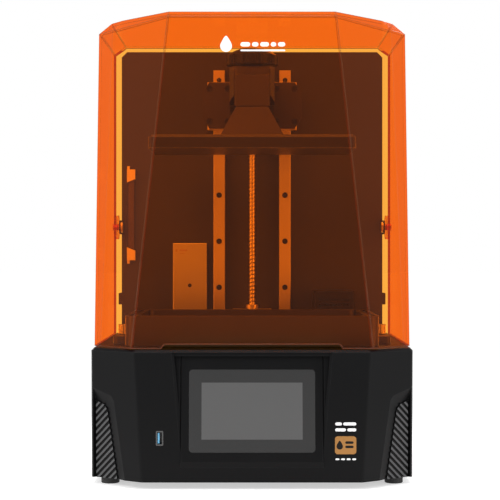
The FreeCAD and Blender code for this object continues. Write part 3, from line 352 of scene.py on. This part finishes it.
# The corner facet of the base passes through these points, in millimetres. Its ribbed plate is
# sunk in it: rib tops lie 3 mm under the facet and the grooves between them 4 mm under.
facet_corner, facet_side, facet_foot = (Vector(point) * MM for point in (
    (132.0, -180.5, 155.5), (183.0, -142.5, 155.5), (123.0, -180.5, 8.0)))
outward = (facet_foot - facet_corner).cross(facet_side - facet_corner).normalized()
RIB_MIDDLE = outward.dot(facet_corner) - 0.0035
RIB_BLUR = 0.0004
grip = moulded_black("ribbed_black", (0.0125, 0.0125, 0.0130), 0.46, 0.0004)
height = (grip.axis("X").size() * outward.x + grip.axis("Y") * outward.y
          + grip.axis("Z") * outward.z)
# Painted highlight and painted shade: the rib tops are painted pale grey as if lit, and the grooves
# near black as if in shade.
painted_rib_highlight = height.soft_step(RIB_MIDDLE - RIB_BLUR, RIB_MIDDLE + RIB_BLUR)
grip.set("Base Color", grip.blend(painted_rib_highlight, (0.004, 0.004, 0.004), (0.085, 0.085, 0.087)))
grip.apply("corner_grip_left", "corner_grip_right")
moulded_black("case_black", (0.018, 0.018, 0.019), 0.5, 0.0006).apply(
    "tower_cover", "filter_housing", "light_housing", "power_frame", "power_inlet")
moulded_black("fan_black", (0.020, 0.020, 0.022), 0.38, 0.0009).apply(
    "rear_fan_frame", "rear_fan_rotor", "light_fan_frame", "light_fan_rotor", "power_rocker")
print("black mouldings done")


# %% [markdown]
# ## Powder-coated sheet
# The tower plate, floor and rear wall are folded sheet under black powder coat. Powder flows
# into a skin of shallow rounded lumps, the orange peel of a fridge door. Voronoi cells smoothed
# by their distance make better lumps than plain noise, which has no rounded tops.

# %% Powder coat
def powder_coat(name, colour, roughness):
    """Black powder coat with orange peel and fine dust."""
    skin = Recipe(name, colour, roughness)
    lumps = skin.cells(0.0011, "SMOOTH_F1")
    dust = skin.noise(0.0004, 2.0)
    clouds = skin.noise(0.09, 4.0)
    brighter = tuple(1.5 * value for value in colour)
    skin.set("Base Color", skin.blend(clouds * 0.6 + dust * 0.2, colour, brighter))
    skin.set("Roughness", clouds * 0.12 + (roughness - 0.06))
    skin.bump(lumps * 0.8 + dust * 0.2, 0.00008, 0.5, rounded=0.0006)
    return skin


POWDER_BLACK = (0.022, 0.021, 0.021)
powder_coat("powder_black", POWDER_BLACK, 0.48).apply(
    "base_floor", "column_plate", "hinge_brackets", "cover_catches")

# A generic rating label sits on the rear panel: pale film with a few printed lines.
LABEL_X, LABEL_Z, LABEL_HALF_W, LABEL_HALF_H, LINE_PITCH = 0.045, 0.066, 0.022, 0.014, 0.0045
panel_finish = powder_coat("labelled_panel", POWDER_BLACK, 0.48)


def within(signal, centre, half_width, blur=0.0002):
    """1 within a distance of a centre and 0 outside."""
    return 1 - (signal - centre).size().soft_step(half_width - blur, half_width + blur)


label = (within(panel_finish.axis("X"), LABEL_X, LABEL_HALF_W)
         * within(panel_finish.axis("Z"), LABEL_Z, LABEL_HALF_H))
printed_area = (within(panel_finish.axis("X"), LABEL_X, LABEL_HALF_W - 0.003)
                * within(panel_finish.axis("Z"), LABEL_Z, LABEL_HALF_H - 0.0025))
line = within(((panel_finish.axis("Z") - LABEL_Z) * (1 / LINE_PITCH)).fraction(), 0.5, 0.14, 0.02)
words = panel_finish.noise(0.003, 0.0, vector=panel_finish.stretched((1.0, 0.0, 0.01)))
text = printed_area * line * words.soft_step(0.38, 0.42)
film_white = panel_finish.blend(text, (0.62, 0.62, 0.60), (0.03, 0.03, 0.03))
panel_finish.set("Base Color", panel_finish.blend(label, (0.024, 0.023, 0.023), film_white))
panel_finish.apply("rear_panel")
print("powder coat done")


# %% [markdown]
# ## Bare metals
# Ground steel shows fine straight scratches along the way it was ground, here upwards along the
# rails. Stretching a noise a hundred times along one axis turns its lumps into such lines. The
# aluminium castings are blasted, so their grain is even in all directions.

# %% Ground steel and blasted aluminium
def ground_metal(name, colour, roughness, along=(1.0, 1.0, 0.01)):
    """Metal with scratches that run along the axis of the smallest factor."""
    skin = Recipe(name, colour, roughness, Metallic=1.0)
    lines = skin.noise(0.0006, 3.0, vector=skin.stretched(along))
    stains = skin.noise(0.035, 4.0)
    darker = tuple(0.72 * value for value in colour)
    skin.set("Base Color", skin.blend(stains * 0.5 + lines * 0.35, colour, darker))
    skin.set("Roughness", lines * 0.22 + stains * 0.08 + (roughness - 0.13))
    skin.bump(lines, 0.00003, 0.5, rounded=0.0003)
    return skin


def blasted_metal(name, colour, roughness, grain=0.0004):
    """Metal with an even blasted grain and bright edges."""
    skin = Recipe(name, colour, roughness, Metallic=1.0)
    pits = skin.noise(grain, 2.0)
    stains = skin.noise(0.05, 4.0)
    rubbed = skin.edges(0.0007)
    darker = tuple(0.7 * value for value in colour)
    paler = tuple(min(1.0, 1.3 * value + 0.05) for value in colour)
    shade = skin.blend(stains * 0.6, colour, darker)
    skin.set("Base Color", skin.blend(rubbed * 0.6, shade, paler))
    skin.set("Roughness", pits * 0.16 + stains * 0.1 + (roughness - 0.13))
    skin.bump(pits, 0.00005, 0.5, rounded=0.0005)
    return skin


steel = ground_metal("ground_steel", (0.88, 0.80, 0.76), 0.34)
steel.apply("rail_left", "rail_right", "hinge_pins", "rail_blocks", "shaft_coupling")
ground_metal("port_steel", (0.13, 0.13, 0.13), 0.5, (1.0, 1.0, 0.1)).apply("usb_shell")
screw_black = blasted_metal("screw_black", (0.055, 0.055, 0.058), 0.36)
screw_black.apply("tower_screws", "carriage_screws")
blasted_metal("blasted_aluminium", (0.68, 0.68, 0.69), 0.42).apply(
    "heater_housing", "lower_bearing_block", "upper_bearing_block", "ball_nut", "led_heatsink",
    "film_clamp", "z_motor")
blasted_metal("black_anodised", (0.085, 0.078, 0.075), 0.45, 0.0003).apply(
    "carriage_plate", "platform_arm", "clamp_block", "vat_frame")
blasted_metal("bright_screws", (0.62, 0.62, 0.63), 0.28).apply("vat_screw_left", "vat_screw_right")
ground_metal("galvanised", (0.52, 0.53, 0.55), 0.4, (1.0, 0.02, 1.0)).apply("power_supply")
print("metals done")


# %% [markdown]
# ## The amber cover
# The cover is 3 mm acrylic, dyed amber. Dye works like a filter: it takes out blue first, then
# green, so two walls look redder than one. A filter on the outer face of each wall does this, and
# the inner face stays clear, so that a wall counts once even where it is seen on edge. At the
# rims, light crosses far more dye and a deeper filter takes over. On faces seen at a slant it
# takes a share. The creases are dark because light there is bent away, and a faint mirror lies
# over everything.

# %% Clear dyed acrylic
WALL_TINT = (1.0, 0.43, 0.05)
LONG_TINT = (0.86, 0.07, 0.003)
RIM_DEPTH = 0.0003
cover_low, cover_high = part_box("cover_shell")
COVER_MIDDLE = (cover_low + cover_high) / 2
REAR_RIM = cover_high.y - RIM_DEPTH
LOWER_RIM = cover_low.z + RIM_DEPTH


def dye(skin, wall_tint):
    """A filter with the tint of a whole wall."""
    return skin.node("ShaderNodeBsdfTransparent", sockets={"Color": (*wall_tint, 1.0)})


def outer_face(skin):
    """1 on faces that look away from the middle of the cover and 0 on those that look at it.

    Cycles turns the normal of a face that is seen from behind, so it is turned back first.
    """
    from_middle = skin.node("ShaderNodeVectorMath", {"operation": "SUBTRACT"},
                            {0: skin.position(), 1: tuple(COVER_MIDDLE)})
    normal = skin.node("ShaderNodeTexCoord", take="Normal")
    along = skin.node("ShaderNodeVectorMath", {"operation": "DOT_PRODUCT"},
                      {0: from_middle, 1: normal}, take="Value")
    turned = skin.node("ShaderNodeNewGeometry", take="Backfacing")
    return along * (1 - turned * 2) > 0.0


def dyed_acrylic(name, body_colour, crease_colour):
    """Clear dyed sheet with dark creases, a deeper tint at its rims, and a weak mirror."""
    skin = Recipe(name, body_colour, 0.05)
    haze = skin.noise(0.07, 4.0)
    crease = skin.edges(0.0024, 0.015)
    rim = (skin.axis("Y") > REAR_RIM).calc("MAXIMUM", skin.axis("Z") < LOWER_RIM)
    skin.set("Roughness", haze * 0.04 + 0.02)
    body = skin.blend(haze * 0.3, body_colour, (0.4, 0.1, 0.02))
    skin.set("Base Color", skin.blend(crease.calc("MAXIMUM", rim), body, crease_colour))
    tilt = skin.node("ShaderNodeLayerWeight", sockets={"Blend": 0.5}, take="Facing")
    depth = (tilt.soft_step(0.35, 1.0) * 0.3).calc("MAXIMUM", rim)
    dyed = skin.node("ShaderNodeMixShader", sockets={
        0: depth, 1: dye(skin, WALL_TINT), 2: dye(skin, LONG_TINT)})
    see_through = skin.node("ShaderNodeMixShader", sockets={
        0: outer_face(skin), 1: dye(skin, (1.0, 1.0, 1.0)), 2: dyed})
    mirror = skin.node("ShaderNodeFresnel", sockets={"IOR": 1.49})
    share = (mirror * 0.45).calc("MINIMUM", 0.045) + crease * 0.6 + rim * 0.3
    skin.cover(share, see_through)
    return skin


dyed_acrylic("amber_acrylic", (0.60, 0.42, 0.32), (0.14, 0.040, 0.010)).apply(
    "cover_shell", "cover_bosses")
print("cover tint per wall:", WALL_TINT)


# %% [markdown]
# ## Screen glass
# The touch glass is printed black-grey from behind and left clear over the display. Switched
# off, the display shows through as a lighter grey rectangle. A mask made from the position
# along the glass draws that window with a crisp edge, so no image is needed.

# %% Touch glass
glass_low, glass_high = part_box("touch_glass")
WINDOW = (0.1126, 0.0629)
middle_z = (glass_low.z + glass_high.z) / 2
printed = Recipe("printed_glass", (0.05, 0.05, 0.05), 0.12)
printed.set("Coat Weight", 0.6)
printed.set("Coat Roughness", 0.03)
across = within(printed.axis("X"), 0.0, WINDOW[0] / 2)
upward = within(printed.axis("Z"), middle_z, WINDOW[1] / 2)
window = across * upward
smear = printed.noise(0.03, 4.0)
printed.set("Base Color", printed.blend(window, (0.026, 0.026, 0.026), (0.083, 0.083, 0.083)))
printed.set("Roughness", smear * 0.16 + window * 0.1 + 0.14)
printed.set("Specular IOR Level", 0.25)
printed.bump(smear, 0.00002, 0.3, rounded=0.0006)
printed.apply("touch_glass")
print("display window", [round(v / MM, 1) for v in WINDOW], "mm")


# %% [markdown]
# ## Small finishes
# Rubber has a dry bloom, the plastic tongue in the port is blue with paler contacts, and the gold
# plate is satin with brushed lines.

# %% Rubber, port, badge
rubber = Recipe("foot_rubber", (0.012, 0.012, 0.012), 0.75)
bloom = rubber.noise(0.004, 5.0)
rubber.set("Base Color", rubber.blend(bloom * 0.7, (0.010, 0.010, 0.010), (0.028, 0.027, 0.026)))
rubber.set("Roughness", bloom * 0.2 + 0.62)
rubber.bump(bloom, 0.0001, 0.5, rounded=0.0008)
rubber.apply("rubber_feet")

PIN_PITCH = 0.0025
port = Recipe("port_blue", (0.10, 0.36, 0.60), 0.4)
pins = (port.axis("Z") * (1 / PIN_PITCH)).fraction()
contact = within(pins, 0.5, 0.2, 0.03)
port.set("Base Color", port.blend(contact * 0.3, (0.11, 0.40, 0.64), (0.30, 0.42, 0.50)))
port.set("Roughness", contact * -0.15 + 0.42)
port.apply("usb_tongue")

ground_metal("satin_gold", (0.50, 0.25, 0.085), 0.46, (1.0, 1.0, 0.02)).apply("badge_plate")
print("rubber, port and badge done")

# %% [markdown]
# ## Parts that are mostly hidden
# Boards, lenses, film and filter lie under other pieces, but they show when those are lifted or
# through a vent. Copper traces are the cell borders of one Voronoi pattern and solder pads the
# cell centres of another. Carbon grains are such cells turned into relief.

# %% Boards and sealed parts
board = Recipe("green_board", (0.012, 0.09, 0.045), 0.35)
lanes = board.cells(0.004, "DISTANCE_TO_EDGE", board.stretched((1.0, 1.0, 2.0)))
trace = 1 - lanes.soft_step(0.03, 0.06)
pads = board.cells(0.0062)
pad = 1 - pads.soft_step(0.1, 0.14)
copper = board.blend(trace * 0.6, (0.010, 0.075, 0.040), (0.02, 0.17, 0.08))
board.set("Base Color", board.blend(pad, copper, (0.62, 0.60, 0.55)))
board.set("Roughness", pad * -0.1 + trace * 0.06 + 0.38)
board.set("Metallic", pad * 0.9)
board.bump(trace * 0.5 + pad, 0.00008, 0.6, rounded=0.0003)
board.apply("mainboard", "led_board")

lens = Recipe("lens_acrylic", (0.95, 0.97, 1.0), 0.05)
lens.set("Transmission Weight", 1.0)
lens.set("IOR", 1.49)
swirl = lens.noise(0.01, 3.0)
lens.set("Roughness", swirl * 0.06 + 0.02)
lens.apply("lens_array")

film = Recipe("release_film", (0.96, 0.97, 0.98), 0.08)
ripple = film.noise(0.03, 3.0)
film.set("Alpha", 0.35)
film.set("Roughness", ripple * 0.1 + 0.05)
film.bump(ripple, 0.0004, 0.4)
film.apply("vat_film")

ROW_PITCH = 0.0006
mask = Recipe("image_screen", (0.012, 0.012, 0.016), 0.1)
rows = (mask.axis("Y") * (1 / ROW_PITCH)).fraction()
mask.set("Base Color", mask.blend(rows * 0.3, (0.010, 0.010, 0.014), (0.022, 0.021, 0.030)))
mask.set("Roughness", mask.noise(0.04, 3.0) * 0.12 + 0.05)
mask.set("Coat Weight", 0.5)
mask.apply("mask_screen")

moulded_black("border_tape", (0.010, 0.010, 0.010), 0.55, 0.0007).apply("mask_frame")

carbon = Recipe("carbon_grains", (0.010, 0.010, 0.010), 0.7)
grains = carbon.cells(0.0022)
carbon.set("Base Color", carbon.blend(grains * 0.6, (0.006, 0.006, 0.006), (0.035, 0.034, 0.033)))
carbon.set("Roughness", grains * 0.25 + 0.5)
carbon.bump(1 - grains, 0.0006, 0.9)
carbon.apply("filter_cartridge")

ground_metal("module_back", (0.45, 0.46, 0.47), 0.45, (0.02, 1.0, 1.0)).apply("touch_display")
print("boards and sealed parts done")

# %% [markdown]
# ## Platform, knob and light strip
# The platform is black anodised with a laser-cut grid underneath that makes prints stick. Its
# edges are rubbed bare by scrapers. The light strip has pale caps with slanted ends, so its mask
# compares height with place across the strip.

# %% Build platform, knob and light strip
plate = Recipe("platform_black", (0.05, 0.05, 0.052), 0.45, Metallic=1.0)
GRID = 0.003
line_x = within((plate.axis("X") * (1 / GRID)).fraction(), 0.5, 0.07, 0.02)
line_y = within((plate.axis("Y") * (1 / GRID)).fraction(), 0.5, 0.07, 0.02)
PLATE_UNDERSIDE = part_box("build_plate")[0].z + 0.0008
cut = line_x.calc("MAXIMUM", line_y) * (plate.axis("Z") < PLATE_UNDERSIDE)
grit = plate.noise(0.0005, 2.0)
bare = plate.edges(0.0008)
plate.set("Base Color", plate.blend(bare.calc("MAXIMUM", cut * 0.5), (0.045, 0.045, 0.047),
                                    (0.42, 0.42, 0.43)))
plate.set("Roughness", grit * 0.2 + cut * 0.1 + 0.32)
plate.bump(grit * 0.4 - cut, 0.00012, 0.7, rounded=0.0006)
plate.apply("build_plate")

moulded_black("knob_black", (0.016, 0.016, 0.017), 0.34, 0.0008).apply("clamp_knob")

strip = Recipe("opal_strip", (0.5, 0.48, 0.45), 0.35)
strip_low, strip_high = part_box("light_bar")
strip_middle = (strip_low.z + strip_high.z) / 2
CAP_START, CAP_SLANT = 0.0421, 0.415
inward = (strip.axis("X") - strip_low.x) * CAP_SLANT
end = ((strip.axis("Z") - strip_middle).size() - inward).soft_step(CAP_START, CAP_START + 0.0004)
frost = strip.noise(0.0008, 2.0)
strip.set("Base Color", strip.blend(end, (0.075, 0.055, 0.05), (0.90, 0.88, 0.84)))
strip.set("Roughness", frost * 0.2 + 0.3)
strip.bump(frost, 0.00005, 0.4, rounded=0.0005)
strip.apply("light_bar")
print("platform, knob and light strip done")


# %% [markdown]
# ## Printed marks
# The console and the cover carry printed marks. Their wording isn't copied: rows of rounded
# bars and a plain drop stand in for it. Ink is thin, so each mark is a flat outline with a
# thickness of five hundredths of a millimetre, set on the face that carries it.

# %% Flat outlines
INK = 0.00005


def bar(left, right, bottom, top, steps=6):
    """Outline of a bar with round ends, in millimetres on the front face."""
    radius = (top - bottom) / 2
    middle = (top + bottom) / 2
    turns = [math.pi * k / steps - math.pi / 2 for k in range(steps + 1)]
    right_end = [(right - radius + radius * math.cos(t), middle + radius * math.sin(t))
                 for t in turns]
    left_end = [(left + radius - radius * math.cos(t), middle - radius * math.sin(t))
                for t in turns]
    return right_end + left_end


def drop(x, z, radius, steps=28):
    """Outline of a drop: a circle whose top is drawn up to a point."""
    outline = []
    for k in range(steps):
        turn = 2 * math.pi * k / steps + math.pi / 2
        pull = max(0.0, math.sin(turn)) ** 3
        outline.append((x + radius * math.cos(turn) * (1 - 0.35 * pull),
                        z + radius * math.sin(turn) + radius * 0.75 * pull))
    return outline


def printed_mark(name, outlines, face_y, body, ink):
    """Thin shapes on a face that looks towards -Y, riding a body."""
    shape = bmesh.new()
    for outline in outlines:
        ring = [shape.verts.new((x * MM, face_y * MM, z * MM)) for x, z in outline]
        face = shape.faces.new(ring)
        made = bmesh.ops.extrude_face_region(shape, geom=[face])["geom"]
        moved = [item for item in made if isinstance(item, bmesh.types.BMVert)]
        bmesh.ops.translate(shape, verts=moved, vec=(0, -INK, 0))
    bmesh.ops.recalc_face_normals(shape, faces=shape.faces)
    mesh = bpy.data.meshes.new(name)
    shape.to_mesh(mesh)
    shape.free()
    mark = bpy.data.objects.new(name, mesh)
    bpy.context.scene.collection.objects.link(mark)
    ink.apply(name)
    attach(mark, body)
    return mark


def ink_finish(name, colour, roughness):
    """Screen-printed ink, a little uneven where the mesh left it thin."""
    ink = Recipe(name, colour, roughness)
    thin = ink.noise(0.0006, 3.0)
    ink.set("Base Color", ink.blend(thin, colour, tuple(0.88 * value for value in colour)))
    ink.set("Roughness", thin * 0.2 + (roughness - 0.1))
    ink.set("Specular IOR Level", 0.2)
    ink.bump(thin, 0.00002, 0.4)
    return ink


# %% [markdown]
# ## Where the marks go
# White ink sits on the console and the cover, dark ink on the gold plate, and a pale warm ink on
# the heater. Each mark rides the body that carries it, so the cover takes its own mark along.

# %% Console and cover marks
white_ink = ink_finish("white_ink", (0.86, 0.86, 0.86), 0.5)
dark_ink = ink_finish("dark_ink", (0.006, 0.004, 0.003), 0.5)
warm_ink = ink_finish("warm_ink", (0.55, 0.42, 0.34), 0.5)

CONSOLE_FACE, BADGE_FACE, COVER_FACE, HEATER_FACE = -180.5, -180.9, -178.0, 116.5
heading = [bar(92.5, 100.0, 71.6, 75.0), bar(101.4, 116.0, 71.6, 75.0),
           bar(92.5, 104.5, 65.0, 68.4), bar(105.9, 116.0, 65.0, 68.4)]
footing = [bar(92.8 + 6.2 * k, 97.2 + 6.2 * k, 33.0, 35.0) for k in range(4)]
console_mark = printed_mark("console_mark", heading + footing, CONSOLE_FACE, "chassis", white_ink)
badge_mark = printed_mark(
    "badge_mark", [drop(97.5, 48.4, 3.6), bar(103.6, 113.0, 51.2, 54.0),
                   bar(103.6, 113.0, 46.4, 49.2)], BADGE_FACE, "chassis", dark_ink)
letters = [(-13.0, -2.0), (-0.2, 7.2), (9.0, 19.0), (20.8, 27.0), (28.8, 37.0)]
cover_mark = printed_mark(
    "cover_mark", [drop(-29.0, 494.0, 6.6)] + [bar(a, b, 493.4, 498.4) for a, b in letters]
    + [bar(-13.0, 37.0, 488.2, 490.2)], COVER_FACE, "cover", white_ink)
heater_mark = printed_mark(
    "heater_mark", [drop(-98.4, 265.4, 1.5), bar(-94.4, -84.0, 264.6, 267.2),
                    bar(-94.4, -88.0, 261.4, 262.6)], HEATER_FACE, "chassis", warm_ink)
print("marks:", [piece.name for piece in (console_mark, badge_mark, cover_mark, heater_mark)])


# %% [markdown]
# ## The lift screw's thread
# The CAD screw is a plain rod. Its real surface is one helical groove with a 5 mm lead. A tube
# of rings follows it: the radius dips wherever height and angle together land in the groove.

# %% Threaded screw
LEAD, CORE, COLLAR = 5.0, 4.0, 8.0
THREAD_START, THREAD_END = 197.0, 492.0
COLLARS = ((190.6, 195.6), (493.4, 499.4))
SIDES, GROOVE = 36, 0.55
screw_low, screw_high = (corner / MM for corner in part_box("ball_screw"))


def screw_radius(height, turn):
    """Radius in millimetres at a height and an angle."""
    if any(start <= height <= end for start, end in COLLARS):
        return COLLAR
    if not THREAD_START < height < THREAD_END:
        return CORE
    phase = (height / LEAD - turn / (2 * math.pi)) % 1.0
    return CORE - GROOVE * max(0.0, math.cos(2 * math.pi * phase)) ** 0.7


def turned_piece(name, heights, radius_at, centre, sides):
    """Closed tube of rings about an upright axis at centre, in millimetres."""
    shape = bmesh.new()
    rings = []
    for height in heights:
        turns = [2 * math.pi * k / sides for k in range(sides)]
        rings.append([shape.verts.new(((centre[0] + radius_at(height, t) * math.cos(t)) * MM,
                                       (centre[1] + radius_at(height, t) * math.sin(t)) * MM,
                                       height * MM)) for t in turns])
    for under, over in zip(rings, rings[1:]):
        for k in range(sides):
            nearby = (k + 1) % sides
            shape.faces.new((under[k], under[nearby], over[nearby], over[k])).smooth = True
    shape.faces.new(rings[0][::-1])
    shape.faces.new(rings[-1])
    mesh = bpy.data.meshes.new(name)
    shape.to_mesh(mesh)
    shape.free()
    mesh.set_sharp_from_angle(angle=math.radians(40))
    made = bpy.data.objects.new(name, mesh)
    bpy.context.scene.collection.objects.link(made)
    return made


STEP, SHOULDER = 0.4, 0.01
count = int((screw_high.z - screw_low.z) / STEP)
levels = [screw_low.z + k * (screw_high.z - screw_low.z) / count for k in range(count + 1)]
for start, end in COLLARS:
    levels += [start - SHOULDER, start, end, end + SHOULDER]
levels.sort()
screw_middle = (screw_low + screw_high) / 2
screw = turned_piece("ball_screw_thread", levels, screw_radius, screw_middle, SIDES)
steel.apply("ball_screw_thread")
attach(screw, "lift_screw")
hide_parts("ball_screw")
print("thread turns:", round((THREAD_END - THREAD_START) / LEAD))

# %% [markdown]
# ## Grease nipples
# Each slide block has a nipple on top through which its balls are greased: a stem with a wider
# head that narrows to a cone. It is turned on the same rings as the screw.

# %% Grease nipples on the slide blocks
NIPPLE = ((0.0, 2.4), (5.5, 2.4), (6.0, 3.0), (8.5, 3.0), (9.4, 2.0), (10.0, 1.2))
BELOW_PLATE_TOP = 2.5
plate_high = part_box("carriage_plate")[1]
nipple_base = plate_high.z / MM - BELOW_PLATE_TOP
nipple_y = (plate_high.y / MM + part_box("rail_left")[0].y / MM) / 2
heights = [nipple_base + h for h, _ in NIPPLE]
widths = dict(zip(heights, (r for _, r in NIPPLE)))
for side, rail in (("left", "rail_left"), ("right", "rail_right")):
    rail_low, rail_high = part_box(rail)
    place = ((rail_low.x + rail_high.x) / 2 / MM, nipple_y)
    nipple = turned_piece(f"grease_nipple_{side}", heights, lambda h, _: widths[h], place, 20)
    screw_black.apply(nipple.name)
    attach(nipple, "carriage")
print("nipples stand on the blocks at", round(nipple_base, 1), "mm")
